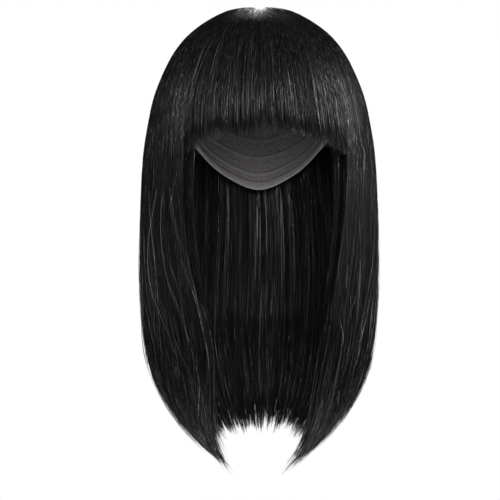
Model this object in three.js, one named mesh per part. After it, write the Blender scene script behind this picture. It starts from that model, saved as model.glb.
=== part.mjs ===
// A straight shoulder-length bob wig with a full fringe, in the shape it keeps while it is worn.
// Lengths are millimetres, +Z is up, the open face looks along -Y, and +X is the wearer's left.
// The origin is the inside top of the cap, where the cap rests on the crown of the head.
// The cap is an open dome. The hair is five sections of locks that start at the parting on the
// crown, lie on the cap down to the head's widest level, and hang free below it.
import * as THREE from "three";

// The head that the cap fits, measured from the crown's axis and from the crown down
const headWidth = 150;
const headFrontLength = 92;
const headBackLength = 98;
const crownHeight = 88;

// The cap and the scalp patch that is let into its top
const capWall = 1.6;
const patchHalfWidth = 17;
const patchFrontLength = 26;
const patchBackLength = 15;
const patchSeam = 0.4;

// The hair's depth over the cap at the crown, and at the head's widest level on each side
const seatGap = 0.8;
const topDepth = 3.4;
const sideDepth = 15.4;
const frontDepth = 8.6;
const backDepth = 13.6;

// The bare line on the crown from which the hair is combed, the hair's depth along it, and the
// valley that the parting leaves, which fades with a power of the cosine of the azimuth
const partingHalfWidth = 4;
const partingFrontLength = 15;
const partingBackLength = 8;
const rootDepth = 1.5;
const partingDip = 2.4;
const dipPower = 4;

// The hanging hair, and the seams between its sections
const hangLength = 289;
const curtainDepth = 15;
const sectionGap = 0.6;

// The locks: the depth of the groove between two of them, and how far a lock's tip hangs below it
const lockRelief = 1.8;
const lockTip = 9;

// How far below the crown the fringe is cut, and how much of their hanging length the curtains
// keep beside the face and at the back
const fringeDrop = 95;
const fringeCornerDrop = 18;
const faceHemShare = 0.965;
const backHemShare = 0.915;

// Between which azimuths the fringe comes down to its corners, and where the side sections meet
// the back ones, in degrees from the middle of the face
const cornerStart = 18;
const cornerEnd = 50;
const sideEnd = 104;
const napeMiddle = 180;

// The outer shape of the hair, a row for each level from the crown to the tips.
// level: above 0 a share of the dome's height over the head's widest level, below 0 a share of
// the hanging length under it. side, front, back: shares of the reach at the widest level.
// wall: share of the curtain's depth. dip: share of the parting's dip.
// edgeRight, edgeLeft: where the hair beside the face ends, in degrees from the middle.
const stations = [
  { level: 1.0, side: 0.13, front: 0.2, back: 0.13, wall: 1, dip: 1, edgeRight: 42, edgeLeft: 48 },
  { level: 0.985, side: 0.267, front: 0.29, back: 0.27, wall: 1, dip: 0.5, edgeRight: 42, edgeLeft: 48 },
  { level: 0.9, side: 0.453, front: 0.47, back: 0.46, wall: 1, dip: 0, edgeRight: 42, edgeLeft: 48 },
  { level: 0.76, side: 0.643, front: 0.65, back: 0.66, wall: 1, dip: 0, edgeRight: 42, edgeLeft: 48 },
  { level: 0.6, side: 0.774, front: 0.79, back: 0.8, wall: 1, dip: 0, edgeRight: 42, edgeLeft: 48 },
  { level: 0.4, side: 0.878, front: 0.9, back: 0.91, wall: 1, dip: 0, edgeRight: 42, edgeLeft: 48 },
  { level: 0.2, side: 0.955, front: 0.97, back: 0.975, wall: 1, dip: 0, edgeRight: 42, edgeLeft: 48 },
  { level: 0.0, side: 1.0, front: 1.0, back: 1.0, wall: 1, dip: 0, edgeRight: 41, edgeLeft: 48 },
  { level: -0.1, side: 1.05, front: 0.985, back: 0.995, wall: 1, dip: 0, edgeRight: 39.5, edgeLeft: 48 },
  { level: -0.3, side: 1.077, front: 0.93, back: 0.95, wall: 0.95, dip: 0, edgeRight: 38.5, edgeLeft: 43.5 },
  { level: -0.5, side: 1.077, front: 0.89, back: 0.9, wall: 0.9, dip: 0, edgeRight: 31, edgeLeft: 37 },
  { level: -0.65, side: 1.032, front: 0.86, back: 0.845, wall: 0.85, dip: 0, edgeRight: 26, edgeLeft: 35 },
  { level: -0.76, side: 0.932, front: 0.8, back: 0.775, wall: 0.8, dip: 0, edgeRight: 28, edgeLeft: 35 },
  { level: -0.85, side: 0.774, front: 0.71, back: 0.68, wall: 0.7, dip: 0, edgeRight: 34, edgeLeft: 40 },
  { level: -0.93, side: 0.575, front: 0.6, back: 0.57, wall: 0.6, dip: 0, edgeRight: 42, edgeLeft: 46 },
  { level: -1.0, side: 0.345, front: 0.47, back: 0.44, wall: 0.5, dip: 0, edgeRight: 42, edgeLeft: 42 },
];

// The cap's rim, evenly spaced from the middle of the forehead to the nape: how far the rim lies
// below the crown, as a share of the crown's height. It comes down in front of and behind the ears.
const rimDrops = [0.54, 0.6, 0.86, 1.18, 1.12, 1.5, 1.66];

// Where the fringe parts at its hem: each gap's middle and half width in degrees, and its height
// as a share of the fringe's drop
const fringeGaps = [
  { azimuth: -27, halfWidth: 3.5, height: 0.12 },
  { azimuth: 3, halfWidth: 7, height: 0.26 },
  { azimuth: 39, halfWidth: 3.5, height: 0.3 },
];

// What follows from the sizes above
const seatOffset = capWall + seatGap;
const domeHeight = crownHeight + seatOffset + topDepth;
const sideReach = headWidth / 2 + seatOffset + sideDepth;
const frontReach = headFrontLength + seatOffset + frontDepth;
const backReach = headBackLength + seatOffset + backDepth;

const radians = THREE.MathUtils.degToRad;
const { clamp, lerp, smoothstep } = THREE.MathUtils;

// A point at an azimuth on a level's outline, which is two half ellipses that meet at the sides
function onOutline(azimuth, side, front, back, z) {
  const angle = radians(azimuth);
  const along = Math.cos(angle);
  return new THREE.Vector3(side * Math.sin(angle), -(along > 0 ? front : back) * along, z);
}

// A point on the head's ellipsoid, grown by an offset, at a polar angle from the crown
function onHead(azimuth, polar, offset) {
  const share = Math.sin(polar);
  return onOutline(
    azimuth,
    (headWidth / 2 + offset) * share,
    (headFrontLength + offset) * share,
    (headBackLength + offset) * share,
    (crownHeight + offset) * Math.cos(polar) - crownHeight,
  );
}

// The polar angle at which an outline of the given reaches lies on the cap
function polarAt(azimuth, side, front, back) {
  const reach = onOutline(azimuth, side, front, back, 0).length();
  const widest = onOutline(azimuth, headWidth / 2, headFrontLength, headBackLength, 0).length();
  return Math.asin(reach / widest);
}

// The height of a row of the table of stations
function heightOf(station) {
  const span = station.level > 0 ? domeHeight : hangLength;
  return span * station.level - crownHeight;
}

function outerPoint(station, azimuth) {
  const valley = partingDip * station.dip * Math.cos(radians(azimuth)) ** dipPower;
  return onOutline(
    azimuth,
    sideReach * station.side,
    frontReach * station.front,
    backReach * station.back,
    heightOf(station) - valley,
  );
}

// The inside of the hair: on the cap above the head's widest level, and a curtain's depth in from
// the outer shape below it, but never inside the head
function innerPoint(station, azimuth) {
  if (station.level > 0) {
    return onHead(azimuth, Math.atan2(station.side, station.level), seatOffset);
  }
  const below = clamp((hangLength * -station.level) / (crownHeight + seatOffset), 0, 1);
  const narrowing = Math.sqrt(1 - below ** 2);
  const depth = curtainDepth * station.wall;
  return onOutline(
    azimuth,
    Math.max(sideReach * station.side - depth, (headWidth / 2 + seatOffset) * narrowing),
    Math.max(frontReach * station.front - depth, (headFrontLength + seatOffset) * narrowing),
    Math.max(backReach * station.back - depth, (headBackLength + seatOffset) * narrowing),
    heightOf(station),
  );
}

// Two curves from the parting to the tips, on the outer shape and on the inside of the hair
function combedCurves(azimuthAt) {
  const rootAzimuth = azimuthAt(stations[0]);
  const rootPolar = polarAt(rootAzimuth, partingHalfWidth, partingFrontLength, partingBackLength);
  const innerRoot = onHead(rootAzimuth, rootPolar, seatOffset);
  const outerRoot = onHead(rootAzimuth, rootPolar, seatOffset + rootDepth);
  const outer = stations.map((station) => outerPoint(station, azimuthAt(station)));
  const inner = stations.map((station) => innerPoint(station, azimuthAt(station)));
  return {
    outer: new THREE.CatmullRomCurve3([outerRoot, ...outer]),
    inner: new THREE.CatmullRomCurve3([innerRoot, ...inner]),
  };
}

// The share of a falling curve at which it comes down to a height, by halving the span it is in
const heightHalvings = 24;

function shareAtHeight(curve, height) {
  let above = 0;
  let below = 1;
  for (let halving = 0; halving < heightHalvings; halving += 1) {
    const middle = (above + below) / 2;
    if (curve.getPoint(middle).z > height) above = middle;
    else below = middle;
  }
  return above;
}

// The geometry of one closed solid between two grids of points, by column and row.
// A ring's last column is joined to its first one.
function solidBetween(outer, inner, isRing) {
  const columns = outer.length;
  const rows = outer[0].length;
  const points = [...outer.flat(), ...inner.flat()];
  const outside = (column, row) => (column % columns) * rows + row;
  const inside = (column, row) => columns * rows + outside(column, row);
  const indices = [];
  const triangle = (a, b, c) => {
    const [p, q, r] = [points[a], points[b], points[c]];
    if (!p.equals(q) && !q.equals(r) && !r.equals(p)) indices.push(a, b, c);
  };
  const quad = (a, b, c, d) => {
    triangle(a, b, c);
    triangle(a, c, d);
  };
  const spans = isRing ? columns : columns - 1;
  for (let i = 0; i < spans; i += 1) {
    for (let j = 0; j < rows - 1; j += 1) {
      quad(outside(i, j), outside(i, j + 1), outside(i + 1, j + 1), outside(i + 1, j));
      quad(inside(i, j), inside(i + 1, j), inside(i + 1, j + 1), inside(i, j + 1));
    }
    quad(outside(i, 0), outside(i + 1, 0), inside(i + 1, 0), inside(i, 0));
    quad(outside(i, rows - 1), inside(i, rows - 1), inside(i + 1, rows - 1), outside(i + 1, rows - 1));
  }
  for (let j = 0; j < rows - 1 && !isRing; j += 1) {
    quad(outside(0, j), inside(0, j), inside(0, j + 1), outside(0, j + 1));
    quad(
      outside(columns - 1, j),
      outside(columns - 1, j + 1),
      inside(columns - 1, j + 1),
      inside(columns - 1, j),
    );
  }
  return new THREE.BufferGeometry().setFromPoints(points).setIndex(indices);
}

// A cloth shell on the head, from one polar angle to another at each azimuth
function headShell(startPolar, endPolar, columns, rows) {
  const outer = [];
  const inner = [];
  for (let i = 0; i < columns; i += 1) {
    const azimuth = (360 * i) / columns;
    const polars = Array.from({ length: rows + 1 }, (_, j) =>
      lerp(startPolar(azimuth), endPolar(azimuth), j / rows),
    );
    outer.push(polars.map((polar) => onHead(azimuth, polar, capWall)));
    inner.push(polars.map((polar) => onHead(azimuth, polar, 0)));
  }
  return solidBetween(outer, inner, true);
}

const rimCurve = new THREE.CatmullRomCurve3(
  rimDrops.map((drop, i) => new THREE.Vector3(i, drop, 0)),
  false,
  "catmullrom",
);

function rimPolar(azimuth) {
  const fromFront = Math.abs(azimuth > napeMiddle ? azimuth - 2 * napeMiddle : azimuth);
  return Math.acos(1 - rimCurve.getPoint(fromFront / napeMiddle).y);
}

const capColumns = 36;
const capRows = 8;
const patchRows = 2;

const capGeometry = headShell(
  (azimuth) =>
    polarAt(
      azimuth,
      patchHalfWidth + patchSeam,
      patchFrontLength + patchSeam,
      patchBackLength + patchSeam,
    ),
  rimPolar,
  capColumns,
  capRows,
);
const patchGeometry = headShell(
  () => 0,
  (azimuth) => polarAt(azimuth, patchHalfWidth, patchFrontLength, patchBackLength),
  capColumns,
  patchRows,
);

// The heights at which the sections are cut
function fringeHem(azimuth) {
  const corner = smoothstep(Math.abs(azimuth), cornerStart, cornerEnd);
  const gaps = fringeGaps.map(({ azimuth: middle, halfWidth, height }) =>
    Math.max(0, 1 - Math.abs(azimuth - middle) / halfWidth) * height * fringeDrop,
  );
  return -fringeDrop - fringeCornerDrop * corner + Math.max(...gaps);
}

function curtainHem(azimuth) {
  const share = smoothstep(Math.abs(azimuth), cornerEnd, napeMiddle);
  return -crownHeight - hangLength * lerp(faceHemShare, backHemShare, share);
}

// Each section of hair runs from one azimuth to another, which may change with the level.
// rows is how often it is divided along its length, and faceEdge says which of its two sides,
// 0 or 1, thins out beside the face.
const sections = [
  {
    name: "fringe",
    start: (station) => -station.edgeRight,
    end: (station) => station.edgeLeft,
    locks: 18,
    rows: 13,
    hem: fringeHem,
  },
  {
    name: "side_left",
    start: (station) => station.edgeLeft,
    end: () => sideEnd,
    locks: 9,
    rows: 24,
    hem: curtainHem,
    faceEdge: 0,
  },
  {
    name: "back_left",
    start: () => sideEnd,
    end: () => napeMiddle,
    locks: 10,
    rows: 24,
    hem: curtainHem,
  },
  {
    name: "back_right",
    start: () => -napeMiddle,
    end: () => -sideEnd,
    locks: 10,
    rows: 24,
    hem: curtainHem,
  },
  {
    name: "side_right",
    start: () => -sideEnd,
    end: (station) => -station.edgeRight,
    locks: 9,
    rows: 24,
    hem: curtainHem,
    faceEdge: 1,
  },
];

// How much of its depth the hair keeps beside the face and at its cut ends, over which share of
// a section it thins out to the face, and in which share of its length the grooves begin
const edgeDepthShare = 0.5;
const edgeFadeShare = 0.2;
const tipDepthShare = 0.35;
const grooveStartShare = 0.25;

// The power with which the change towards the cut ends gathers near them
const endPower = 4;

// The locks differ in relief and length: the least share of each, and the step between two locks
const leastRelief = 0.4;
const leastTip = 0.5;
const lockStep = 2.4;

// How far a lock goes from its least share, at 0, to the whole, at 1
function lockShare(lock) {
  return (1 + Math.sin(lockStep * lock)) / 2;
}

// One column of a section: the points on its outer shape and on its inside, from its start to
// the height where it is cut. The rows keep to the section's own cut until close to the hem.
function hairColumn(curves, sectionCut, cut, rows, groove, edgeShare) {
  const wholeShare = shareAtHeight(curves.outer, sectionCut);
  const cutShare = shareAtHeight(curves.outer, cut);
  const outer = [];
  const inner = [];
  for (let j = 0; j <= rows; j += 1) {
    const along = j / rows;
    const nearEnd = along ** endPower;
    const share = wholeShare * along + (cutShare - wholeShare) * nearEnd;
    const crust = curves.outer.getPoint(share);
    const lining = curves.inner.getPoint(share);
    const inward = lining.clone().sub(crust);
    const depthShare = lerp(1, tipDepthShare, nearEnd) * lerp(1, edgeShare, along);
    inner.push(crust.clone().addScaledVector(inward, depthShare));
    const grooveHere = groove * Math.min(1, along / grooveStartShare);
    outer.push(crust.addScaledVector(inward.normalize(), grooveHere));
  }
  return { outer, inner };
}

// One section of hair: locks side by side on a common backing, with a column of points for each
// lock's crest and for each groove between two locks
function hairSection({ start, end, locks, rows, hem, faceEdge }) {
  const columns = 2 * locks;
  const outer = [];
  const inner = [];
  for (let i = 0; i <= columns; i += 1) {
    const across = i / columns;
    const share = lockShare(i >> 1);
    const isCrest = i % 2 === 1;
    const azimuthAt = (station) => lerp(start(station), end(station), across);
    const sectionCut = hem(azimuthAt(stations[0]));
    const cut = sectionCut - (isCrest ? lockTip * lerp(leastTip, 1, share) : 0);
    const groove = isCrest ? 0 : lockRelief * lerp(leastRelief, 1, share);
    const fromEdge = faceEdge === undefined ? 1 : Math.abs(across - faceEdge);
    const edgeShare = lerp(edgeDepthShare, 1, smoothstep(fromEdge, 0, edgeFadeShare));
    const column = hairColumn(combedCurves(azimuthAt), sectionCut, cut, rows, groove, edgeShare);
    if (i === 0 || i === columns) {
      const inset = (i === 0 ? 1 : -1) * (sectionGap / 2);
      for (const point of [...column.outer, ...column.inner]) {
        const sideways = new THREE.Vector3(-point.y, point.x, 0).normalize();
        point.addScaledVector(sideways, inset);
      }
    }
    outer.push(column.outer);
    inner.push(column.inner);
  }
  return solidBetween(outer, inner, false);
}

const capNet = new THREE.MeshStandardMaterial({ color: 0x151313, roughness: 0.9, metalness: 0 });
const scalpSkin = new THREE.MeshStandardMaterial({ color: 0xe6cdbb, roughness: 0.55, metalness: 0 });
const blackHair = new THREE.MeshStandardMaterial({ color: 0x0d0c0c, roughness: 0.4, metalness: 0 });

function piece(name, geometry, material) {
  geometry.computeVertexNormals();
  const mesh = new THREE.Mesh(geometry, material);
  mesh.name = name;
  return mesh;
}

const wig = new THREE.Group();
wig.name = "bob_wig";
wig.add(piece("cap", capGeometry, capNet));
wig.add(piece("scalp_patch", patchGeometry, scalpSkin));
for (const section of sections) {
  wig.add(piece(section.name, hairSection(section), blackHair));
}

export default wig;
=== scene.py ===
"""The looks of the bob wig: its hair, its cap and its scalp patch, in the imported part's frame.

Lengths are metres, +Z is up, the open front looks along -Y and +X is the wig's own left. The
origin is on the inside of the cap's top. The hair is made of two masses, one for the fringe and
one for the curtain, which lie just inside the hair's outer shape, and of strands that lie on
them, show inside the curtain and form the cut ends.
"""

import math

import bmesh
import bpy
import numpy as np
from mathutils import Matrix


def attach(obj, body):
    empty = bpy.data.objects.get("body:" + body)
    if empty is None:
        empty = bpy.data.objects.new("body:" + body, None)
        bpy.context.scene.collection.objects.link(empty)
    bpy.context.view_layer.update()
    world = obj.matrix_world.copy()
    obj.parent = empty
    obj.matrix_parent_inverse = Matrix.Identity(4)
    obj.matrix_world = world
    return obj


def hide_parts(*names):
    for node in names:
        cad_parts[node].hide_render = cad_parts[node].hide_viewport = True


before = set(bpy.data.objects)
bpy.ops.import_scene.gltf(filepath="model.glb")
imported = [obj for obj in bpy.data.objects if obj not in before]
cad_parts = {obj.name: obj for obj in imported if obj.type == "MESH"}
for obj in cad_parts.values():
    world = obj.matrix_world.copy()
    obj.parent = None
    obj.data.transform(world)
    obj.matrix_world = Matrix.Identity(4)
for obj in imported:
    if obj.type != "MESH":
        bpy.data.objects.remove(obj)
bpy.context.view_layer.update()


# The dome of the cap: its reach to the side, the front and the back, and its height
CAP_REACH = (0.075, 0.092, 0.098)
CROWN_HEIGHT = 0.088

# The cap's cloth, and how far over the dome the inside of the hair lies
CAP_WALL = 0.0016
SEAT = 0.0024

# The hair's outer reach to the side, the front and the back where the dome is widest, its
# lengths above and below that level, and the curtain's depth
HAIR_REACH = (0.0928, 0.103, 0.114)
DOME_HEIGHT = 0.0938
HANG_LENGTH = 0.289
CURTAIN_DEPTH = 0.015

# The oval on the crown from which the hair is combed, to the side, the front and the back, the
# hair's depth there, and the parting's valley
PARTING = (0.004, 0.015, 0.008)
ROOT_DEPTH = 0.0015
PARTING_DIP = 0.0024
DIP_POWER = 20

# The outer shape, a row for each level from the crown to the tips.
# level: above 0 a share of the dome's height, below 0 a share of the hanging length.
# side, front, back: shares of the reach. wall: share of the curtain's depth. dip: share of the
# parting's dip. right, left: where the fringe and the curtain meet, and lower down where the
# curtain ends beside the open front, in degrees from the front's middle.
COLUMNS = ("level", "side", "front", "back", "wall", "dip", "right", "left")
STATIONS = (
    (1.0, 0.085, 0.18, 0.1, 1, 1, 42, 48),
    (0.985, 0.267, 0.29, 0.27, 1, 0.5, 42, 48),
    (0.9, 0.453, 0.47, 0.46, 1, 0, 42, 48),
    (0.76, 0.643, 0.65, 0.66, 1, 0, 42, 48),
    (0.6, 0.774, 0.79, 0.8, 1, 0, 42, 48),
    (0.4, 0.878, 0.9, 0.91, 1, 0, 42, 48),
    (0.2, 0.955, 0.97, 0.975, 1, 0, 42, 48),
    (0.0, 1.0, 1.0, 1.0, 1, 0, 41, 48),
    (-0.1, 1.05, 0.985, 0.995, 1, 0, 39.5, 48),
    (-0.3, 1.077, 0.93, 0.95, 0.95, 0, 38.5, 43.5),
    (-0.5, 1.077, 0.89, 0.9, 0.9, 0, 31, 37),
    (-0.65, 1.032, 0.86, 0.845, 0.85, 0, 26, 35),
    (-0.76, 0.932, 0.8, 0.775, 0.8, 0, 28, 35),
    (-0.85, 0.774, 0.71, 0.68, 0.7, 0, 34, 40),
    (-0.93, 0.575, 0.6, 0.57, 0.6, 0, 42, 46),
    (-1.0, 0.345, 0.47, 0.44, 0.5, 0, 42, 42),
)
SHAPE = {name: np.array(column, float) for name, column in zip(COLUMNS, zip(*STATIONS))}

# How far below the crown the fringe is cut, how much lower at its corners, how far its tips run
# past that, and how much of its hanging length the curtain keeps in front and behind
FRINGE_DROP = 0.095
FRINGE_CORNER_DROP = 0.018
FRINGE_TIPS = 0.0035
FRONT_HEM_SHARE = 0.965
BACK_HEM_SHARE = 0.915

# Where the cut changes and where the sections of the curtain meet, in degrees from the front's
# middle, counted round by the left
CORNER_START = 18
CORNER_END = 50
SIDE_END = 104
NAPE = 180
ROUND = 360

# The shortest length to divide by, and how near each other points become one
TINY = 1e-9
WELD = 1e-6

random = np.random.default_rng(20)


def smooth(value, low, high):
    """0 below low, 1 above high and an even turn between them."""
    share = np.clip((value - low) / (high - low), 0, 1)
    return share * share * (3 - 2 * share)


def mix(a, b, share):
    return a + (b - a) * share


def unit(vectors):
    length = np.linalg.norm(vectors, axis=-1, keepdims=True)
    return vectors / np.maximum(length, TINY)


# The shape of the hair


def on_outline(azimuth, side, front, back, z):
    """Points at azimuths on an outline of two half ellipses that meet at the sides."""
    angle = np.radians(azimuth)
    along = np.cos(angle)
    reach = np.where(along > 0, front, back)
    return np.stack([side * np.sin(angle), -reach * along, z + 0 * along], axis=-1)


def on_cap(azimuth, polar, offset):
    """Points at an offset out of the cap's dome."""
    reaches = [(reach + offset) * np.sin(polar) for reach in CAP_REACH]
    height = (CROWN_HEIGHT + offset) * np.cos(polar) - CROWN_HEIGHT
    return on_outline(azimuth, *reaches, height)


def polar_at(azimuth, side, front, back):
    """The polar angle at which an oval of the given reaches lies on the cap."""
    reach = np.linalg.norm(on_outline(azimuth, side, front, back, 0), axis=-1)
    widest = np.linalg.norm(on_outline(azimuth, *CAP_REACH, 0), axis=-1)
    return np.arcsin(reach / widest)


def along_curves(points, places):
    """Points at places, counted in control points, on smooth curves through rows of points."""
    spans = points.shape[1] - 1
    first = 2 * points[:, :1] - points[:, 1:2]
    last = 2 * points[:, -1:] - points[:, -2:-1]
    padded = np.concatenate([first, points, last], axis=1)
    knots = np.sqrt(np.linalg.norm(np.diff(padded, axis=1), axis=2))
    rows = np.arange(points.shape[0])[:, None]
    at = np.clip(np.floor(places).astype(int), 0, spans - 1)
    share = (places - at)[..., None]
    p0, p1, p2, p3 = (padded[rows, at + step] for step in range(4))
    k0, k1, k2 = (knots[rows, at + step][..., None] for step in range(3))
    leave = ((p1 - p0) / k0 - (p2 - p0) / (k0 + k1) + (p2 - p1) / k1) * k1
    arrive = ((p2 - p1) / k1 - (p3 - p1) / (k1 + k2) + (p3 - p2) / k2) * k1
    square, cube = share**2, share**3
    return (
        (2 * cube - 3 * square + 1) * p1
        + (cube - 2 * square + share) * leave
        + (3 * square - 2 * cube) * p2
        + (cube - square) * arrive
    )


# How many points a sheet has across and along it, and on how many its rows are measured
ACROSS = 121
ALONG = 121
MEASURED = 8 * ALONG


class Sheet:
    """Hair combed from the parting between two edges, as a grid of points on its outer shape and
    one on its inside, both evenly spaced from the parting to the lowest level."""

    def __init__(self, start, end, locks, wisps, hem, thinning, has_open_edges):
        self.locks = locks
        self.wisps = wisps
        self.hem_at = hem
        self.thinning_at = thinning
        self.has_open_edges = has_open_edges
        azimuths = mix(start, end, np.linspace(0, 1, ACROSS)[:, None])
        self.azimuth = azimuths[:, 0]
        root = azimuths[:, :1]
        polar = polar_at(root, *PARTING)
        level = SHAPE["level"]
        height = np.where(level > 0, DOME_HEIGHT, HANG_LENGTH) * level - CROWN_HEIGHT
        valley = PARTING_DIP * SHAPE["dip"] * np.cos(np.radians(azimuths)) ** DIP_POWER
        shares = (SHAPE["side"], SHAPE["front"], SHAPE["back"])
        reaches = [reach * share for reach, share in zip(HAIR_REACH, shares)]
        outer = on_outline(azimuths, *reaches, height - valley)
        below = np.clip(HANG_LENGTH * -level / (CROWN_HEIGHT + SEAT), 0, 1)
        narrowing = np.sqrt(1 - below**2)
        depth = CURTAIN_DEPTH * SHAPE["wall"]
        seats = [(reach + SEAT) * narrowing for reach in CAP_REACH]
        insides = [np.maximum(reach - depth, seat) for reach, seat in zip(reaches, seats)]
        hanging = on_outline(azimuths, *insides, height + 0 * azimuths)
        lying = on_cap(azimuths, np.arctan2(SHAPE["side"], level) + 0 * azimuths, SEAT)
        inner = np.where((level > 0)[None, :, None], lying, hanging)
        outer = np.concatenate([on_cap(root, polar, SEAT + ROOT_DEPTH), outer], axis=1)
        inner = np.concatenate([on_cap(root, polar, SEAT), inner], axis=1)
        self.outer, self.inner, self.length = self.even_grids(outer, inner)

    def roots(self, across, share):
        """Points on the scalp patch at shares of the way out to the edge of the parting."""
        azimuth = self.azimuths(across)
        return on_cap(azimuth, polar_at(azimuth, *PARTING) * share, CAP_WALL)

    @staticmethod
    def even_grids(outer, inner):
        """Both grids with even steps along the outer one, and the lengths of its rows."""
        fine = np.linspace(0, outer.shape[1] - 1, MEASURED)
        dense = along_curves(outer, np.broadcast_to(fine, (ACROSS, fine.size)))
        steps = np.linalg.norm(np.diff(dense, axis=1), axis=2)
        run = np.concatenate([np.zeros((ACROSS, 1)), np.cumsum(steps, axis=1)], axis=1)
        shares = np.linspace(0, 1, ALONG)
        places = np.array([np.interp(shares * row[-1], row, fine) for row in run])
        return along_curves(outer, places), along_curves(inner, places), run[:, -1]

    def look_up(self, grid, across, along):
        """The grid's values at shares across and along it."""
        i = np.clip(across, 0, 1) * (ACROSS - 1)
        j = np.clip(along, 0, 1) * (ALONG - 1)
        i0 = np.minimum(i.astype(int), ACROSS - 2)
        j0 = np.minimum(j.astype(int), ALONG - 2)
        u, v = (i - i0)[..., None], (j - j0)[..., None]
        near = mix(grid[i0, j0], grid[i0, j0 + 1], v)
        far = mix(grid[i0 + 1, j0], grid[i0 + 1, j0 + 1], v)
        return mix(near, far, u)

    def along_at_height(self, across, height):
        """The shares along the columns at which they come down to the heights."""
        shares = np.linspace(0, 1, ALONG)
        columns = self.look_up(self.outer, across[:, None], shares[None, :])
        fallen = np.maximum.accumulate(-columns[..., 2], axis=1)
        return np.array([np.interp(-z, column, shares) for z, column in zip(height, fallen)])

    def azimuths(self, across):
        return np.interp(across, np.linspace(0, 1, ACROSS), self.azimuth)

    def hem(self, across):
        """The height at which the hair is cut."""
        return self.hem_at(NAPE - np.abs(NAPE - np.abs(self.azimuths(across))))

    def thinning(self, across):
        """How far above the hem the hair starts to grow thin."""
        return self.thinning_at(self.azimuths(across))

    def points(self, across, along, depth):
        """Points at depths in from the outer shape, and the directions out of it."""
        outer = self.look_up(self.outer, across, along)
        inward = unit(self.look_up(self.inner, across, along) - outer)
        return outer + inward * depth[..., None], -inward

    def thickness(self, across, along):
        outer = self.look_up(self.outer, across, along)
        return np.linalg.norm(self.look_up(self.inner, across, along) - outer, axis=-1)


def fringe_hem(azimuth):
    drop = FRINGE_DROP + FRINGE_TIPS
    return -drop - FRINGE_CORNER_DROP * smooth(azimuth, CORNER_START, CORNER_END)


def curtain_hem(azimuth):
    share = mix(FRONT_HEM_SHARE, BACK_HEM_SHARE, smooth(azimuth, CORNER_END, NAPE))
    return -CROWN_HEIGHT - HANG_LENGTH * share


# The fringe's see-through gaps: where they are, half their width in degrees, and their height
GAPS = ((4.0, 6.0, 0.03), (-28.0, 2.5, 0.018), (39.5, 2.0, 0.018))

# How far up the curtain thins out at its front corners and elsewhere, and how many degrees wide
# those corners are
CORNER_THINNING = 0.055
PLAIN_THINNING = 0.008
CORNER_WIDTH = 26


def fringe_thinning(azimuth):
    return sum(
        height * np.exp(-(((azimuth - middle) / width) ** 2)) for middle, width, height in GAPS
    )


def curtain_thinning(azimuth):
    from_left = azimuth - SHAPE["left"][-1]
    from_right = ROUND - SHAPE["right"][-1] - azimuth
    corner = 1 - smooth(np.minimum(from_left, from_right), 0, CORNER_WIDTH)
    return mix(PLAIN_THINNING, CORNER_THINNING, corner)


# The edges of the fringe and the curtain, and how many locks and wisps they have
FRINGE_EDGES = (-SHAPE["right"], SHAPE["left"])
CURTAIN_EDGES = (SHAPE["left"], ROUND - SHAPE["right"])
FRINGE_LOCKS = (18, 64)
CURTAIN_LOCKS = (38, 190)

fringe = Sheet(*FRINGE_EDGES, *FRINGE_LOCKS, fringe_hem, fringe_thinning, False)
curtain = Sheet(*CURTAIN_EDGES, *CURTAIN_LOCKS, curtain_hem, curtain_thinning, True)


def across_at(azimuth):
    """The share across the curtain at an azimuth on the crown."""
    return float(np.interp(azimuth, curtain.azimuth, np.linspace(0, 1, ACROSS)))


# The sections that the curtain is in, as shares across it, and the edges beside the open front
CURTAIN_SECTIONS = {
    "side_left": (0.0, across_at(SIDE_END)),
    "back_left": (across_at(SIDE_END), across_at(NAPE)),
    "back_right": (across_at(NAPE), across_at(ROUND - SIDE_END)),
    "side_right": (across_at(ROUND - SIDE_END), 1.0),
}
OPEN_EDGES = {"side_left": 0.0, "side_right": 1.0}


# Meshes


def finished(name, nodes, mesh, material):
    """Puts a mesh in the scene as a piece that stands for nodes of the CAD."""
    piece = bpy.data.objects.new(name, mesh)
    bpy.context.scene.collection.objects.link(piece)
    mesh.materials.append(material)
    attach(piece, "root")
    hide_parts(*nodes)
    return piece


def folded_grid(name, map_name, columns, rows, points_at):
    """A smooth mesh of a grid whose touching edges are made one. points_at gives its points from
    the shares across and down it, which are also its map."""
    mesh = bpy.data.meshes.new(name)
    bm = bmesh.new()
    bm.loops.layers.uv.new(map_name)
    bmesh.ops.create_grid(bm, x_segments=columns, y_segments=rows, size=0.5, calc_uvs=True)
    place = np.array([vert.co for vert in bm.verts]) + 0.5
    for vert, point in zip(bm.verts, points_at(place[:, 0], place[:, 1])):
        vert.co = point
    bmesh.ops.remove_doubles(bm, verts=bm.verts, dist=WELD)
    bmesh.ops.recalc_face_normals(bm, faces=bm.faces)
    for face in bm.faces:
        face.smooth = True
    bm.to_mesh(mesh)
    bm.free()
    return mesh


# How many sides a strand has
SIDES = 3


def rings_round(points, out, width, depth):
    """Rings of points round rows of points, from the directions out and the half sizes."""
    forward = unit(np.gradient(points, axis=1))
    sideways = unit(np.cross(forward, out))
    lift = unit(np.cross(sideways, forward))
    angles = np.radians(ROUND / 4 + ROUND / SIDES * np.arange(SIDES))
    return (
        points[:, :, None]
        + sideways[:, :, None] * (np.cos(angles) * width[..., None])[..., None]
        + lift[:, :, None] * (np.sin(angles) * depth[..., None])[..., None]
    )


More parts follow.
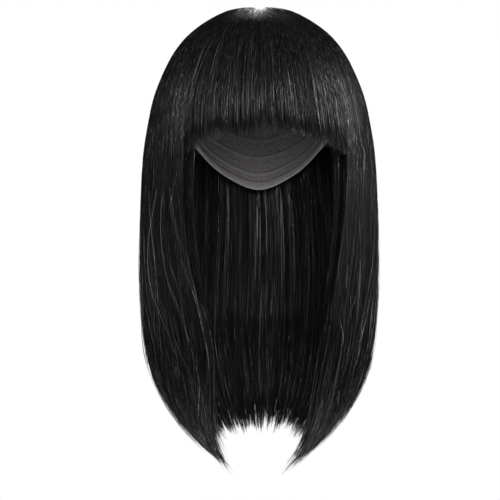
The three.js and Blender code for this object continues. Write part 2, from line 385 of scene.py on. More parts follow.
def strand_mesh(name, bundles):
    """One mesh of thin closed tubes. Each bundle is their points, the directions out of the
    hair, shares along the sheet, half widths, half depths and a random share for each tube. The
    map Hair holds the random share and the share along the sheet."""
    verts, quads, quad_uvs, caps, cap_uvs = [], [], [], [], []
    start = 0
    for points, out, along, width, depth, share in bundles:
        ring = rings_round(points, out, width, depth)
        verts.append(ring.reshape(-1, 3))
        index = start + np.arange(ring.size // 3).reshape(ring.shape[:3])
        start += index.size
        turned = np.roll(index, -1, axis=2)
        quad = np.stack([index[:, :-1], index[:, 1:], turned[:, 1:], turned[:, :-1]], axis=-1)
        quads.append(quad.reshape(-1, 4))
        first, last = along[:, :-1], along[:, 1:]
        v = np.broadcast_to(np.stack([first, last, last, first], axis=-1)[:, :, None], quad.shape)
        u = np.broadcast_to(share[:, None, None, None], quad.shape)
        quad_uvs.append(np.stack([u, v], axis=-1).reshape(-1, 2))
        caps += [index[:, 0], index[:, -1, ::-1]]
        for end in (along[:, 0], along[:, -1]):
            cap_uvs.append(np.stack([np.repeat(share, SIDES), np.repeat(end, SIDES)], axis=-1))
    parts = (verts, quads, caps, quad_uvs + cap_uvs)
    return filled_mesh(name, *(np.concatenate(part) for part in parts))


def filled_mesh(name, verts, quads, caps, uvs):
    """A smooth mesh of the sides and the end caps of tubes, with the map Hair."""
    mesh = bpy.data.meshes.new(name)
    mesh.vertices.add(len(verts))
    mesh.vertices.foreach_set("co", verts.astype(np.float32).ravel())
    loops = np.concatenate([quads.ravel(), caps.ravel()]).astype(np.int32)
    mesh.loops.add(len(loops))
    mesh.loops.foreach_set("vertex_index", loops)
    sizes = np.concatenate([np.full(len(quads), 4), np.full(len(caps), SIDES)]).astype(np.int32)
    mesh.polygons.add(len(sizes))
    starts = (np.cumsum(sizes) - sizes).astype(np.int32)
    mesh.polygons.foreach_set("loop_start", starts)
    mesh.polygons.foreach_set("loop_total", sizes)
    mesh.polygons.foreach_set("use_smooth", np.ones(len(sizes), bool))
    layer = mesh.uv_layers.new(name="Hair")
    layer.data.foreach_set("uv", uvs.astype(np.float32).ravel())
    mesh.update(calc_edges=True)
    return mesh


# Strands, locks and wisps


def lock_centres(count, jitter):
    """Shares across a sheet at which its locks or wisps lie."""
    return (np.arange(count) + 0.5 + random.uniform(-jitter, jitter, count)) / count


def nearest(centres, across):
    """The numbers and the places of the centres that lie nearest to shares across."""
    at = np.abs(across[:, None] - centres[None, :]).argmin(axis=1)
    return at, centres[at]


# How far locks and wisps lie off their even spacing, as a share of it
LOCK_JITTER = 0.25
WISP_JITTER = 0.4

# How strongly strands gather into locks and wisps, the least share of that for a strand, and
# where along it this starts
LOCK_PULL = 0.3
WISP_PULL = 0.7
LEAST_PULL = 0.25
GATHER_FROM = 0.35

# How much higher than in its middle a wisp ends at its edges
WISP_POINT = 0.0025

# Shares along a sheet at which the rows of its strands are looked up
BENDS = np.linspace(0, 1, 201)

# How much closer together the rows are at the roots, over the dome and where the ends turn in,
# where along the sheet the first end and the last start, and how unevenly rows are spaced
ROOT_ROWS = 9.0
DOME_ROWS = 2.2
TURN_ROWS = 1.4
ROOTS_END = 0.04
ENDS_TURN = (0.72, 0.8)
ROW_JITTER = 0.4

# The shortest strand, as a share of its sheet
SHORTEST = 0.05

# How many waves a wisp has along its sheet and how much this differs, how many a strand has, give
# or take one, where along the sheet both grow, and a wisp's sway in widths of a wisp
WISP_WAVES = 1.2
WISP_WAVES_DIFFER = 0.6
STRAND_WAVES = 2.5
WAVES_GROW = (0.05, 0.5)
WISP_SWAY = 0.3


class Combing:
    """The locks and wisps of a sheet, which all its strands share. lock_cut and wisp_cut are
    how far they end above or below the cut, pull is how strongly they gather, and kept how many
    of them stay long where the hair is thinned."""

    def __init__(self, sheet, dome_share, lock_cut, wisp_cut, pull, kept):
        self.sheet = sheet
        self.pull = pull
        self.kept = kept
        self.lock = lock_centres(sheet.locks, LOCK_JITTER)
        self.wisp = lock_centres(sheet.wisps, WISP_JITTER)
        self.lock_cut = random.uniform(-lock_cut, lock_cut, sheet.locks)
        self.wisp_cut = random.uniform(-wisp_cut, wisp_cut, sheet.wisps)
        self.sway = random.uniform(-1, 1, (sheet.wisps, 3))
        at_roots = ROOT_ROWS * (BENDS < ROOTS_END)
        on_dome = DOME_ROWS * (BENDS < dome_share)
        need = 1 + at_roots + on_dome + TURN_ROWS * smooth(BENDS, *ENDS_TURN)
        self.bending = np.cumsum(need) / need.sum()

    def places(self, start, end, rows):
        """Shares along the sheet for the rows of strands, closer together where it bends."""
        first = np.interp(start, BENDS, self.bending)[:, None]
        last = np.interp(end, BENDS, self.bending)[:, None]
        steps = np.tile(np.linspace(0, 1, rows), (len(start), 1))
        uneven = random.uniform(-ROW_JITTER, ROW_JITTER, len(start))[:, None]
        steps[:, 1:-1] += uneven / (rows - 1)
        return np.interp(mix(first, last, steps), self.bending, BENDS)

    def comb(self, across, start, cut, rows, depth_at, wander, thinned=1.0):
        """Strands that start at shares across and along the sheet and end at heights cut above
        or below its hem: their points, the directions out and their shares along the sheet.
        depth_at gives their depth at shares along themselves, wander is how far each strays, in
        widths of a wisp, and thinned how far they take part in the thinning."""
        sheet = self.sheet
        count = len(across)
        lock, lock_centre = nearest(self.lock, across)
        wisp, wisp_centre = nearest(self.wisp, across)
        height = sheet.hem(across) + self.lock_cut[lock] + self.wisp_cut[wisp] + cut
        height = height + WISP_POINT * (2 * sheet.wisps * (across - wisp_centre)) ** 2
        shorter = random.uniform(0, 1, count) ** self.kept
        height = height + thinned * sheet.thinning(across) * shorter
        end = sheet.along_at_height(across, height)
        start = np.minimum(start, end - SHORTEST)
        along = self.places(start, end, rows)
        own_pull = self.pull * random.uniform(LEAST_PULL, 1, count)[:, None]
        gather = own_pull * smooth(along / end[:, None], GATHER_FROM, 1.0)
        pulled = mix(across[:, None], lock_centre[:, None], gather * LOCK_PULL)
        pulled = mix(pulled, wisp_centre[:, None], gather * WISP_PULL)
        phase = self.sway[wisp]
        waves = WISP_WAVES + WISP_WAVES_DIFFER * phase[:, 1:2]
        wave = np.sin(math.tau * (phase[:, :1] + along * waves))
        own = random.uniform(-1, 1, (count, 3))
        lone = np.sin(math.tau * (own[:, :1] + along * (STRAND_WAVES + own[:, 1:2])))
        grown = smooth(along, *WAVES_GROW) / sheet.wisps
        shifted = pulled + grown * (WISP_SWAY * wave + wander * own[:, 2:] * lone)
        steps = (along - start[:, None]) / (end - start)[:, None]
        return *sheet.points(shifted, along, depth_at(steps, shifted, along)), along


# The half width and half depth of a strand, a flat wisp, a narrow one, a loose hair and a stray
# one, and between which shares of them a size lies
FINE = (0.0002, 0.0002)
FLAT = (0.0004, 0.00022)
NARROW = (0.00028, 0.0002)
LOOSE = (0.00013, 0.00013)
STRAY = (0.00011, 0.00011)
SIZE_RANGE = (0.7, 1.3)

# How a strand narrows to its root and its tip, where its root ends, and the power by which it
# narrows to a slender and to a blunt tip
ROOT_WIDTH = 0.35
TIP_WIDTH = 0.25
ROOT_SHARE = 0.2
SLENDER = 5
BLUNT = 8


def bundle(path, size, tip=SLENDER):
    """What strand_mesh needs of strands: their paths, widths and depths, each tube's random."""
    points, out, along = path
    count, rows = points.shape[:2]
    steps = np.linspace(0, 1, rows)
    profile = mix(ROOT_WIDTH, 1, smooth(steps, 0, ROOT_SHARE)) * (1 - (1 - TIP_WIDTH) * steps**tip)
    scale = random.uniform(*SIZE_RANGE, count)[:, None] * profile[None, :]
    return points, out, along, size[0] * scale, size[1] * scale, random.uniform(0, 1, count)


# The tufts at the curtain's front corners: their strands and rows, how many tufts there are, how
# far across the sheet they reach and how wide one is
BRUSH = (360, 7)
BRUSH_TUFTS = 18
BRUSH_WIDTH = 0.09
TUFT_WIDTH = 0.004

# Their strands: where along the sheet they start, how far off the cut they end, how far they run
# on past that, a tuft's share of this and what it loses far in, how much the depths in a tuft
# differ, how they wander and thin out, and where along them they start to run on
BRUSH_START = (0.62, 0.8)
BRUSH_CUT = (-0.006, 0.012)
BRUSH_REACH = 0.024
TUFT_REACH = (0.4, 1)
FAR_TUFT_LOSS = 0.5
TUFT_DEPTH = 0.1
BRUSH_WANDER = 0.8
BRUSH_THINNED = 0.2
RUN_ON_FROM = 0.3


def brush(combing, edge):
    """Tufts that run out past the cut at an edge beside the open front, into a loose brush."""
    count, rows = BRUSH
    tuft = random.integers(0, BRUSH_TUFTS, count)
    place = random.uniform(0, 1, BRUSH_TUFTS)
    across = np.abs(edge - BRUSH_WIDTH * place[tuft] - random.uniform(0, TUFT_WIDTH, count))
    start = random.uniform(*BRUSH_START, count)
    room = random.uniform(0, 1, BRUSH_TUFTS)[tuft] + random.uniform(-TUFT_DEPTH, TUFT_DEPTH, count)

    def depth(steps, across, along):
        return np.clip(room, 0, 1)[:, None] * combing.sheet.thickness(across, along)

    cut = random.uniform(*BRUSH_CUT, count)
    points, out, along = combing.comb(across, start, cut, rows, depth, BRUSH_WANDER, BRUSH_THINNED)
    onwards = unit(points[:, -1] - points[:, -3])
    longest = BRUSH_REACH * random.uniform(*TUFT_REACH, BRUSH_TUFTS) * (1 - FAR_TUFT_LOSS * place)
    past = longest[tuft] * random.uniform(0, 1, count)
    late = smooth(np.linspace(0, 1, rows), RUN_ON_FROM, 1.0)
    points = points + onwards[:, None] * (past[:, None] * late)[..., None]
    return bundle((points, out, along), NARROW, BLUNT)


# How far from an open edge strands may be moved to it, what share of them is, and how far in
# they then lie, all as shares of the sheet's width
EDGE_REACH = 0.2
EDGE_CHANCE = 0.16
EDGE_WIDTH = 0.022


def fuller_edges(sheet, across):
    """Moves some strands to the open edges, where the hair is as full as elsewhere."""
    if not sheet.has_open_edges:
        return across
    edge = np.where(across < 0.5, 0.0, 1.0)
    near = np.abs(across - edge) < EDGE_REACH
    chosen = near & (random.uniform(0, 1, across.size) < EDGE_CHANCE)
    return np.where(chosen, np.abs(edge - random.uniform(0, EDGE_WIDTH, across.size)), across)


def ragged(count, longer, shorter):
    """How far below or above the cut strands end: few below it, more above it."""
    lengths = random.normal(0, 1, count)
    return np.where(lengths > 0, -longer * lengths, -shorter * lengths)


# The kinds of strands: between which shares along the cut sheet they start, how far they end
# below and above the cut, how far they stray by themselves, in widths of a wisp, their size and
# their tip
KINDS = {
    "parting": ((0.0, 0.0), (0.0015, 0.005), 0.6, FINE, SLENDER),
    "long": ((0.004, 0.062), (0.0015, 0.005), 0.6, FINE, SLENDER),
    "body": ((0.05, 0.35), (0.001, 0.005), 0.45, FLAT, SLENDER),
    "ends": ((0.6, 0.8), (0.002, 0.006), 0.8, NARROW, BLUNT),
    "inside": ((0.3, 0.36), (0.001, 0.008), 0.8, FINE, SLENDER),
    "frayed": ((0.5, 0.75), (0.004, 0.06), 1.2, LOOSE, SLENDER),
}

# The roots: the least share of the way out to the parting's edge, how the rest crowd along the
# sheet, and how far from its root a strand lies on the outside
LEAST_ROOT = 0.15
ROOT_CROWDING = 0.42
RISE = 0.018

# Strands on the outside: how deep they lie and the body's start, where along them they are out,
# from where and how far at most they sink in again, and how their ends crowd near the outside
SKIN = 0.0004
BODY_START = 0.0015
OUT_AT = 0.2
SINK_FROM = 0.5
SINK_SHARE = 0.3
SINK_CROWDING = 1.6

# Between which shares of the depth the ends lie, how far the inside strands stand off the
# lining, and how deep the frayed ones start, where along them they lift and how far
ENDS_DEPTH = (0.02, 0.98)
LINING_LIFT = (-0.0004, 0.0012)
FRAY_START = 0.0006
FRAY_FROM = 0.3
FRAY_LIFT = 0.0045


def section_strands(combing, low, high, counts, reach, rag):
    """The strands of one section, in bundles. counts gives a number of strands and of rows for
    each kind, reach how far along its sheet the section is cut, and rag how ragged its cut is."""
    sheet = combing.sheet
    bundles = []

    def across_of(count):
        return fuller_edges(sheet, random.uniform(low, high, count))

    def lying(first, count):
        """On the outside: from a depth, to a random share of the room at the ends."""
        last = random.uniform(0, 1, count)[:, None] ** SINK_CROWDING * SINK_SHARE
        return lambda steps, across, along: (
            first * (1 - smooth(steps, 0, OUT_AT))
            + SKIN
            + smooth(steps, SINK_FROM, 1.0) * last * sheet.thickness(across, along)
        )

    def rooted(start):
        """From the lining up to the outside, then as above."""
        later = lying(0.0, len(start))
        return lambda steps, across, along: mix(
            sheet.thickness(across, along),
            later(steps, across, along),
            smooth(along - start[:, None], 0, RISE),
        )

    def at_share(count):
        """At a random share of the depth."""
        share = random.uniform(*ENDS_DEPTH, count)[:, None]
        return lambda steps, across, along: share * sheet.thickness(across, along)

    def lining(count):
        """On the inside of the hair."""
        lift = random.uniform(*LINING_LIFT, count)[:, None]
        return lambda steps, across, along: sheet.thickness(across, along) - lift

    def lifting(count):
        """From the outside to tips that stand off it."""
        away = random.uniform(0, FRAY_LIFT, count)[:, None]
        return lambda steps, across, along: FRAY_START - away * smooth(steps, FRAY_FROM, 1.0)

    def spread(name):
        """How many strands a kind has, their starts and how far off the cut they end."""
        starts, off_cut = KINDS[name][:2]
        count = counts[name][0]
        return count, random.uniform(*starts, count) * reach, ragged(count, *off_cut)

    def lay(name, across, start, cut, depth, roots=None):
        """Combs strands of a kind, from roots if they are given, and keeps their bundle."""
        wander, size, tip = KINDS[name][2:]
        path = combing.comb(across, start, rag * cut, counts[name][1], depth, wander)
        if roots is not None:
            path[0][:, 0] = roots
        bundles.append(bundle(path, size, tip))

    count, off_cut = counts["parting"][0], KINDS["parting"][1]
    across, start = across_of(count), np.zeros(count)
    roots = sheet.roots(across, random.uniform(LEAST_ROOT, 1.0, count))
    cut = ragged(count, *off_cut)
    lay("parting", across, start, cut, rooted(start), roots)

    count, (starts, off_cut) = counts["long"][0], KINDS["long"][:2]
    start = mix(*starts, random.uniform(0, 1, count) ** ROOT_CROWDING)
    cut = ragged(count, *off_cut)
    lay("long", across_of(count), start, cut, rooted(start))

    count, start, cut = spread("body")
    depth = lying(BODY_START, count)
    lay("body", across_of(count), start, cut, depth)

    count, start, cut = spread("ends")
    depth = at_share(count)
    lay("ends", across_of(count), start, cut, depth)

    count, start, cut = spread("inside")
    lay("inside", across_of(count), start, cut, lining(count))

    count, (starts, (longer, shorter)) = counts["frayed"][0], KINDS["frayed"][:2]
    start = random.uniform(*starts, count) * reach
    cut = random.uniform(-longer, shorter, count)
    lay("frayed", across_of(count), start, cut, lifting(count))
    return bundles


# Stray hairs: how they crowd towards the edges, where 1 is evenly spread, where they start, how
# far above the cut they end, how they wander, how deep they lie, and how far, where along them
# and over what share of them they arch out
STRAY_CROWDING = 0.75
STRAY_START = (0.4, 0.9)
STRAY_CUT = 0.12
STRAY_WANDER = 5.5
STRAY_DEPTH = 0.0002
STRAY_LIFT = 0.0012
STRAY_PEAK = (0.3, 0.9)
STRAY_ARCH = 0.3


def strays(combing, count, rows, reach):
    """Single hairs that lie over the others and cross them."""
    start = random.uniform(*STRAY_START, count) * reach
    cut = reach * random.uniform(0, STRAY_CUT, count)
    away = random.uniform(0, STRAY_LIFT, count)[:, None]
    peak = random.uniform(*STRAY_PEAK, count)[:, None]

    def depth(steps, across, along):
        return STRAY_DEPTH - away * np.exp(-(((steps - peak) / STRAY_ARCH) ** 2))

    side = random.uniform(-1, 1, count)
    across = 0.5 + 0.5 * np.sign(side) * np.abs(side) ** STRAY_CROWDING
    return bundle(combing.comb(across, start, cut, rows, depth, STRAY_WANDER), STRAY)


# Materials

FLOAT = "NodeSocketFloat"
VECTOR = "NodeSocketVector"
COLOUR = "NodeSocketColor"


def group(name, inputs, outputs):
    """An empty shader group with named inputs and outputs."""
    tree = bpy.data.node_groups.new(name, "ShaderNodeTree")
    for label, kind, value in inputs:
        socket = tree.interface.new_socket(label, in_out="INPUT", socket_type=kind)
        if value is not None:
            socket.default_value = value
    for label, kind in outputs:
        tree.interface.new_socket(label, in_out="OUTPUT", socket_type=kind)
    return tree


def feed(tree, inputs, given):
    """Gives inputs their values, or links them where a socket is given."""
    for label, value in given.items():
        if isinstance(value, bpy.types.NodeSocket):
            tree.links.new(value, inputs[label])
        else:
            inputs[label].default_value = value


def node(tree, kind, given, **settings):
    """A new shader node with settings and with what its inputs are given."""
    made = tree.nodes.new("ShaderNode" + kind)
    for key, value in settings.items():
        setattr(made, key, value)
    feed(tree, made.inputs, given)
    return made


def calculate(tree, operation, *given):
    """The result of a calculation with values and sockets."""
    return node(tree, "Math", dict(enumerate(given)), operation=operation).outputs[0]


def multiply(tree, vector, factors):
    given = {0: vector, 1: factors}
    return node(tree, "VectorMath", given, operation="MULTIPLY").outputs[0]


def ramp(tree, value, low, high, to_low=0.0, to_high=1.0, turn="SMOOTHSTEP"):
    """to_low where the value is below low, to_high above high, and a turn between."""
    given = {"Value": value, "From Min": low, "From Max": high, "To Min": to_low, "To Max": to_high}
    return node(tree, "MapRange", given, interpolation_type=turn).outputs[0]


def blend(tree, share, a, b):
    """The colour a, with a share of the colour b."""
    given = {"Factor": share, "A": a, "B": b}
    return node(tree, "Mix", given, data_type="RGBA").outputs["Result"]


def bump(tree, height, distance, **more):
    return node(tree, "Bump", {"Height": height, "Distance": distance, **more}).outputs[0]


def down_cloth(tree):
    """The share down the cloth, from the map Cloth."""
    cloth = node(tree, "UVMap", {}, uv_map="Cloth")
    return node(tree, "SeparateXYZ", {0: cloth.outputs[0]}).outputs["Y"]


# The grain of the hair: how its locks are stretched against its strands, how much they count,
# where in the noise a strand goes from dark to light, and the power by which few are light
LOCK_STRETCH = (0.13, 0.6, 1.0)
LOCK_SHARE = 0.3
SHADE_RANGE = (0.42, 0.68)
LIGHT_POWER = 3.2

# How strong the grain's relief is, and how glossy and how rough dark and light strands are
GRAIN_STRENGTH = 0.8
GLOSS = (0.06, 1.0)
ROUGHNESS = (0.4, 0.2)

# How unevenly the painted sheen on the roots ends, where it starts to fade, how strong it is
# and its colour: a painted highlight near the parting, which also stands for skin between roots
ROOT_SHEEN_UNEVEN = (-5.0, 2.6)
ROOT_SHEEN_FADE = 0.25
ROOT_SHEEN_STRENGTH = 0.97
ROOT_SHEEN_COLOUR = (0.95, 0.93, 0.91, 1)


def strand_grain():
    """Hair seen as many strands side by side: shades, gloss, relief and a painted root sheen."""
    tree = group(
        "Strand grain",
        [
            ("Across and along", VECTOR, None),
            ("Strands across", FLOAT, 900.0),
            ("Changes along", FLOAT, 4.0),
            ("Dark", COLOUR, (0.0015, 0.0014, 0.0014, 1)),
            ("Light", COLOUR, (0.026, 0.025, 0.0245, 1)),
            ("Painted root sheen", FLOAT, 0.015),
            ("Relief", FLOAT, 0.0002),
        ],
        [("Color", COLOUR), ("Gloss", FLOAT), ("Roughness", FLOAT), ("Normal", VECTOR)],
    )
    given = tree.nodes.new("NodeGroupInput").outputs
    place = given["Across and along"]
    spacing = {"X": given["Strands across"], "Y": given["Changes along"]}
    scaled = multiply(tree, place, node(tree, "CombineXYZ", spacing).outputs[0])
    fine = {"Vector": scaled, "Scale": 1.0, "Detail": 3.0, "Roughness": 0.65}
    strands = node(tree, "TexNoise", fine, noise_dimensions="2D").outputs[0]
    coarse = {"Vector": multiply(tree, scaled, LOCK_STRETCH), "Scale": 1.0, "Detail": 2.0}
    locks = node(tree, "TexNoise", coarse, noise_dimensions="2D").outputs[0]
    shares = {"Factor": LOCK_SHARE, "A": strands, "B": locks}
    both = node(tree, "Mix", shares, data_type="FLOAT").outputs[0]
    shade = ramp(tree, both, *SHADE_RANGE, turn="LINEAR")
    few = calculate(tree, "POWER", shade, LIGHT_POWER)
    colour = blend(tree, few, given["Dark"], given["Light"])
    # Painted sheen: strands pale near their roots, as a highlight and as skin seen between them
    along = node(tree, "SeparateXYZ", {0: place}).outputs["Y"]
    reach = calculate(tree, "DIVIDE", along, given["Painted root sheen"])
    uneven = calculate(tree, "MULTIPLY_ADD", strands, *ROOT_SHEEN_UNEVEN)
    length = calculate(tree, "ADD", reach, uneven)
    root_sheen = ramp(tree, length, ROOT_SHEEN_FADE, 1.0, ROOT_SHEEN_STRENGTH, 0.0)
    result = {
        "Color": blend(tree, root_sheen, colour, ROOT_SHEEN_COLOUR),
        "Gloss": ramp(tree, few, 0.0, 1.0, *GLOSS, turn="LINEAR"),
        "Roughness": ramp(tree, shade, 0.0, 1.0, *ROUGHNESS, turn="LINEAR"),
        "Normal": bump(tree, both, given["Relief"], Strength=GRAIN_STRENGTH),
    }
    feed(tree, tree.nodes.new("NodeGroupOutput").inputs, result)
    return tree


def new_material(name):
    material = bpy.data.materials.new(name)
    material.use_nodes = True
    tree = material.node_tree
    shader = next(n for n in tree.nodes if n.type == "BSDF_PRINCIPLED")
    return material, tree, shader


GRAIN = strand_grain()


def hair_material(name, values):
    """Hair whose strand grain has the given values and reads the map Hair."""
    material, tree, shader = new_material(name)
    place = node(tree, "UVMap", {}, uv_map="Hair").outputs[0]
    grain = node(tree, "Group", {}, node_tree=GRAIN)
    feed(tree, grain.inputs, {"Across and along": place, **values})
    color, gloss, roughness, normal = grain.outputs
    looks = {"Base Color": color, "Specular IOR Level": gloss}
    feed(tree, shader.inputs, {**looks, "Roughness": roughness, "Normal": normal})
    return material


TUBES = {"Strands across": 700.0, "Changes along": 2.0, "Relief": 0.0}
STRAND_HAIR = hair_material("Black hair strands", TUBES)
# The fringe's strands get a longer painted root sheen
FRONT_HAIR = hair_material("Black strands of the fringe", {**TUBES, "Painted root sheen": 0.045})
# Stray hairs are the same black hair painted lighter: painted glints, so that they show as lit
STRAY_GLINT_COLOURS = {"Dark": (0.012, 0.0115, 0.0115, 1), "Light": (0.32, 0.308, 0.3, 1)}
STRAY_HAIR = hair_material("Stray hairs", {**TUBES, **STRAY_GLINT_COLOURS})
# The masses keep only a very short painted root sheen
MASSES = {"Relief": 0.0005, "Painted root sheen": 0.001}
CURTAIN_HAIR = hair_material(
    "Black hair of the curtain", {**MASSES, "Strands across": 1400.0, "Changes along": 4.0}
)
FRINGE_HAIR = hair_material(
    "Black hair of the fringe", {**MASSES, "Strands across": 380.0, "Changes along": 1.5}
)

# The net: its mesh, how far from a thread it shows, its colours, and its threads' relief. Its
# colours are painted lighter than the black net, as painted light on the cap's dim inside
NET_SCALE = 500.0
THREAD_EDGE = (0.1, 0.3)
THREAD_COLOUR_WITH_PAINTED_LIGHT = (0.2, 0.193, 0.19, 1)
HOLE_COLOUR_WITH_PAINTED_LIGHT = (0.08, 0.077, 0.076, 1)
THREAD_RELIEF = 0.0003

# The wefts: their rows, where a row's seam ends, as shares of the row, where down the cap the
# rim's band starts, and the relief of both, which have the threads' colour
WEFT_ROWS = 12
WEFT_EDGE = (0.06, 0.16)
RIM_EDGE = (0.955, 0.965)
BAND_RELIEF = 0.001


def net_material():
    """Fine net with stitched rows of hair and a bound rim, all painted lighter as painted light on
    the cap's dim inside. It reads the map Cloth: round the cap, and from its top to its rim."""
    material, tree, shader = new_material("Cap net")
    place = node(tree, "TexCoord", {}).outputs["Object"]
    cells = {"Vector": place, "Scale": NET_SCALE}
    mesh = node(tree, "TexVoronoi", cells, feature="DISTANCE_TO_EDGE")
    thread = ramp(tree, mesh.outputs["Distance"], *THREAD_EDGE, turn="LINEAR")
    down = down_cloth(tree)
    rows = calculate(tree, "PINGPONG", down, 0.5 / WEFT_ROWS)
    seam = [edge / WEFT_ROWS for edge in WEFT_EDGE]
    weft = ramp(tree, rows, *seam, 1.0, 0.0)
    band = calculate(tree, "MAXIMUM", weft, ramp(tree, down, *RIM_EDGE))
    # Threads, holes and bands all get painted light through their lighter colours
    net = blend(tree, thread, THREAD_COLOUR_WITH_PAINTED_LIGHT, HOLE_COLOUR_WITH_PAINTED_LIGHT)
    fine = node(tree, "Bump", {"Height": thread, "Distance": THREAD_RELIEF}, invert=True)
    looks = {
        "Base Color": blend(tree, band, net, THREAD_COLOUR_WITH_PAINTED_LIGHT),
        "Roughness": 0.7,
        "Normal": bump(tree, band, BAND_RELIEF, Normal=fine.outputs[0]),
    }
    feed(tree, shader.inputs, looks)
    return material


# The scalp patch: its pores and knots, how far from a knot's middle the skin shows, where down
# the patch it turns darker towards its edge, its colours and its relief
PORE_SCALE = 900.0
KNOT_SCALE = 800.0
KNOT_EDGE = (0.12, 0.3)
DARKENING_SPAN = (0.1, 0.6)
KNOT_COLOUR = (0.09, 0.06, 0.05, 1)
SKIN_COLOUR = (0.82, 0.72, 0.64, 1)
DARKENED_COLOUR = (0.02, 0.018, 0.017, 1)
PORE_RELIEF = 0.0003


def scalp_material():
    """Pale skin with knotted roots, turning near black towards its edge."""
    material, tree, shader = new_material("Scalp skin")
    place = node(tree, "TexCoord", {}).outputs["Object"]
    pores = node(tree, "TexNoise", {"Vector": place, "Scale": PORE_SCALE})
    knots = node(tree, "TexVoronoi", {"Vector": place, "Scale": KNOT_SCALE})
    dots = ramp(tree, knots.outputs["Distance"], *KNOT_EDGE, turn="LINEAR")
    skin = blend(tree, dots, KNOT_COLOUR, SKIN_COLOUR)
    # Darker towards the patch's edge
    dense = ramp(tree, down_cloth(tree), *DARKENING_SPAN)
    looks = {
        "Base Color": blend(tree, dense, skin, DARKENED_COLOUR),
        "Roughness": 0.5,
        "Normal": bump(tree, pores.outputs[0], PORE_RELIEF),
    }
    feed(tree, shader.inputs, looks)
    return material


# The masses of hair: their rows, how far from the parting they start, how uneven their ends are,
# how far in an open edge lies, and over what shares from it and from the start they thicken
MASS_ALONG = 60
MASS_START = 0.013
MASS_RAGGED = 0.012
EDGE_INSET = 0.008
EDGE_TAPER = 0.05
START_TAPER = 0.05

# How deep they lie and how much deeper between their ribs, where these grow, and each row of
# ribs: its strength, its number in a lock and its shift along the sheet
MASS_INSET = 0.0011
MASS_RELIEF = 0.0005
RIBS_GROW = (0.02, 0.2)
RIBS = ((1.0, 1.0, 1), (0.6, 2.3, 3), (0.5, 5.1, 2))

# How thick a mass is at an open edge, how far it keeps off the lining, and over what shares of
# its width and its length its rims are rounded
EDGE_THICKNESS = 0.5
LINING_INSET = 0.0006
ROUND_ACROSS = 0.006
ROUND_ALONG = 0.02


def hair_mass(name, sheet, nodes, material, columns, stop_above, fade):
    """A closed body that fills a sheet, from near the parting to uneven heights above its cut
    ends, and thins out from a share of its length on."""
    middle = np.linspace(0, 1, ACROSS)
    begin = MASS_START / sheet.length
    uneven = np.linspace(0, 1, columns + 1)
    short = stop_above + MASS_RAGGED * random.uniform(0, 1, columns + 1)
    short = short + sheet.thinning(uneven)
    stop = sheet.along_at_height(uneven, sheet.hem(uneven) + short)
    waves = random.uniform(0, math.tau, len(RIBS))
    inset = EDGE_INSET if sheet.has_open_edges else 0

    def points_at(around, fall):
        """Out across the outer side, and back across the lining."""
        is_outer = around < 0.5
        across = mix(inset, 1 - inset, np.where(is_outer, 2 * around, 2 - 2 * around))
        along = mix(np.interp(across, middle, begin), np.interp(across, uneven, stop), fall)
        turn = across * sheet.locks * math.tau
        ribs = sum(
            strength * np.sin(number * turn + wave + shift * along)
            for (strength, number, shift), wave in zip(RIBS, waves)
        )
        relief = 1 + ribs / sum(strength for strength, _, _ in RIBS)
        crust = MASS_INSET + MASS_RELIEF * relief * smooth(along, *RIBS_GROW)
        edge = np.minimum(across, 1 - across) - inset
        inward = smooth(edge, 0, EDGE_TAPER) if sheet.has_open_edges else np.ones_like(edge)
        ends = smooth(fall, 0, START_TAPER) * (1 - smooth(fall, fade, 1.0))
        room = sheet.thickness(across, along) * mix(EDGE_THICKNESS, 1.0, inward) * ends
        lining = np.maximum(crust, room - LINING_INSET)
        rounding = np.ones_like(edge)
        for rim in (edge / ROUND_ACROSS, fall / ROUND_ALONG, (1 - fall) / ROUND_ALONG):
            rounding = rounding * np.sqrt(np.clip(rim, 0, 1))
        depth = mix(mix(crust, lining, 0.5), np.where(is_outer, crust, lining), rounding)
        return sheet.points(across, along, depth)[0]

    mesh = folded_grid(name, "Hair", 2 * columns, MASS_ALONG, points_at)
    finished(name, nodes, mesh, material)


# The cap and the scalp patch

CLOTH_AROUND = 96


def cloth_shell(node_name, start, end, material, rows):
    """A cloth shell on the cap's dome between two polar angles, given round the dome."""

    def points_at(around, fall):
        azimuth = ROUND * around
        return on_cap(azimuth, mix(start(azimuth), end(azimuth), fall), CAP_WALL)

    name = node_name + "_cloth"
    mesh = folded_grid(name, "Cloth", CLOTH_AROUND, rows, points_at)
    piece = finished(name, [node_name], mesh, material)
    solid = piece.modifiers.new("Wall", "SOLIDIFY")
    solid.thickness = CAP_WALL
    solid.offset = -1


# How far the rim lies below the crown, evenly spaced from the front's middle to the nape: it
# comes down before and behind the arches at the sides
RIM_DROPS = (0.54, 0.6, 0.86, 1.18, 1.12, 1.5, 1.66)


def rim_polar(azimuth):
    """The polar angle of the cap's rim."""
    turn = np.abs((azimuth + NAPE) % ROUND - NAPE) / NAPE
    there_and_back = RIM_DROPS[1:2] + RIM_DROPS + RIM_DROPS[-2:-1]
    steps = np.array([[i, drop, 0.0] for i, drop in enumerate(there_and_back)])
    drops = along_curves(steps[None], 1 + turn[None] * (len(RIM_DROPS) - 1))[0, :, 1]
    return np.arccos(1 - drops)


# The patch's reach to the side, the front and the back, and the seam round it
PATCH = (0.017, 0.026, 0.015)
PATCH_SEAM = 0.0004


def patch_polar(azimuth, seam=0.0):
    return polar_at(azimuth, *(reach + seam for reach in PATCH))


def seam_polar(azimuth):
    return patch_polar(azimuth, PATCH_SEAM)


cloth_shell("cap", seam_polar, rim_polar, net_material(), rows=40)
cloth_shell("scalp_patch", np.zeros_like, patch_polar, scalp_material(), rows=12)

# The masses' columns, how far above the cut they stop, and where they start to thin out
FRINGE_MASS = (72, 0.016, 0.6)
CURTAIN_MASS = (160, 0.011, 0.8)

